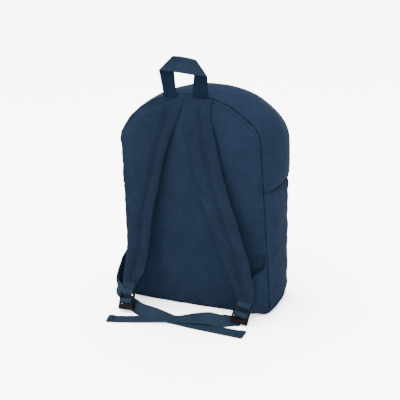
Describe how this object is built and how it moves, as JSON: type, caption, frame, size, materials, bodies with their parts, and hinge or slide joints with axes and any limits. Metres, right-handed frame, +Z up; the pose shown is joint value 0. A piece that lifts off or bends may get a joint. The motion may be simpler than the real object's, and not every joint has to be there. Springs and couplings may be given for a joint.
{
  "type": "school backpack",
  "caption": "Soft school backpack with a zipped main compartment, zipped front pocket, webbing carry handle and padded adjustable shoulder straps.",
  "frame": {"origin": "centre of the base, on the surface that the pack stands on", "axes": "+Z up; +Y towards the side worn against the back, where the straps are; +X towards the wearer's right"},
  "size_m": [0.3265, 0.2611, 0.472],
  "materials": {
    "body_fabric": "matt woven polyester, navy",
    "lining_fabric": "matt woven lining, dark navy",
    "foam": "matt closed-cell foam",
    "binding_tape": "matt woven tape",
    "webbing": "satin woven webbing",
    "zip_tape": "matt woven tape",
    "zip_coil": "satin nylon coil",
    "zip_metal": "satin enamel on die-cast zinc",
    "buckle_plastic": "semi-gloss moulded acetal, black"
  },
  "bodies": {
    "pack": {"back_panel": "body_fabric", "back_foam": "foam", "back_lining": "lining_fabric", "back_seam_binding": "binding_tape", "base_panel": "body_fabric", "side_panel_left": "body_fabric", "side_panel_right": "body_fabric", "front_panel_lower": "body_fabric", "front_seam_binding": "binding_tape", "top_gusset": "body_fabric", "zip_tape_back": "zip_tape", "zip_coil_back": "zip_coil", "pocket_gusset": "body_fabric", "pocket_panel": "body_fabric", "pocket_top_strip": "body_fabric", "pocket_zip_tapes": "zip_tape", "pocket_zip_coils": "zip_coil", "wing_left": "body_fabric", "wing_right": "body_fabric", "anchor_webbing_left": "webbing", "anchor_webbing_right": "webbing", "webbing_tail_left": "webbing", "webbing_tail_right": "webbing"},
    "flap": {"front_panel_upper": "body_fabric", "flap_gusset": "body_fabric", "flap_seam_binding": "binding_tape", "zip_tape_front": "zip_tape", "zip_coil_front": "zip_coil"},
    "slider_upper": {"slider_upper": "zip_metal"},
    "puller_upper": {"puller_upper": "zip_metal"},
    "slider_lower": {"slider_lower": "zip_metal"},
    "puller_lower": {"puller_lower": "zip_metal"},
    "pocket_slider": {"pocket_slider": "zip_metal"},
    "pocket_puller": {"pocket_puller": "zip_metal"},
    "handle": {"carry_handle": "webbing"},
    "strap_left": {"strap_cover_left": "body_fabric", "strap_foam_left": "foam", "buckle_loop_left": "webbing"},
    "strap_right": {"strap_cover_right": "body_fabric", "strap_foam_right": "foam", "buckle_loop_right": "webbing"},
    "lock_left": {"ladder_lock_left": "buckle_plastic"},
    "lock_right": {"ladder_lock_right": "buckle_plastic"}
  },
  "joints": [
    {"name": "flap_open", "type": "hinge", "parent": "pack", "child": "flap", "pos_m": [0, -0.06, 0.235], "axis": [1, 0, 0], "range_deg": [0, 70]},
    {"name": "slider_upper_run", "type": "hinge", "parent": "pack", "child": "slider_upper", "pos_m": [0, -0.041, 0.224], "axis": [0, 1, 0], "range_deg": [-92.4, 0]},
    {"name": "puller_upper_swing", "type": "hinge", "parent": "slider_upper", "child": "puller_upper", "pos_m": [0.14072, -0.041, 0.35754], "axis": [0, 1, 0], "range_deg": [0, 85]},
    {"name": "slider_lower_run", "type": "hinge", "parent": "pack", "child": "slider_lower", "pos_m": [0.09787, -0.041, 0.30956], "axis": [0, 1, 0], "range_deg": [0, 31.5]},
    {"name": "puller_lower_swing", "type": "hinge", "parent": "slider_lower", "child": "puller_lower", "pos_m": [0.1503, -0.041, 0.34627], "axis": [0, -1, 0], "range_deg": [0, 85]},
    {"name": "pocket_slider_run", "type": "slide", "parent": "pack", "child": "pocket_slider", "axis": [1, 0, 0], "range_m": [0, 0.168]},
    {"name": "pocket_puller_swing", "type": "hinge", "parent": "pocket_slider", "child": "pocket_puller", "pos_m": [-0.084, -0.0782, 0.184], "axis": [-1, 0, 0], "range_deg": [0, 150]},
    {"name": "handle_fold", "type": "hinge", "parent": "pack", "child": "handle", "pos_m": [0, 0.0595, 0.411], "axis": [1, 0, 0], "range_deg": [-60, 70]},
    {"name": "strap_left_swing", "type": "hinge", "parent": "pack", "child": "strap_left", "pos_m": [0, 0.0606, 0.396], "axis": [1, 0, 0], "range_deg": [0, 30], "deforming": ["anchor_webbing_left", "webbing_tail_left"]},
    {"name": "strap_right_swing", "type": "hinge", "parent": "pack", "child": "strap_right", "pos_m": [0, 0.0606, 0.396], "axis": [1, 0, 0], "range_deg": [0, 30], "deforming": ["anchor_webbing_right", "webbing_tail_right"]},
    {"name": "lock_left_tilt", "type": "hinge", "parent": "strap_left", "child": "lock_left", "pos_m": [-0.113, 0.103, 0.036], "axis": [0.9612, 0.1202, 0.2483], "range_deg": [-10, 25]},
    {"name": "lock_right_tilt", "type": "hinge", "parent": "strap_right", "child": "lock_right", "pos_m": [0.12, 0.113, 0.033], "axis": [0.9934, -0.0143, -0.1136], "range_deg": [-10, 25]}
  ],
  "couplings": [
    {"joint": "slider_upper_run", "follows": "flap_open", "ratio": -1.32},
    {"joint": "slider_lower_run", "follows": "flap_open", "ratio": 0.45}
  ]
}
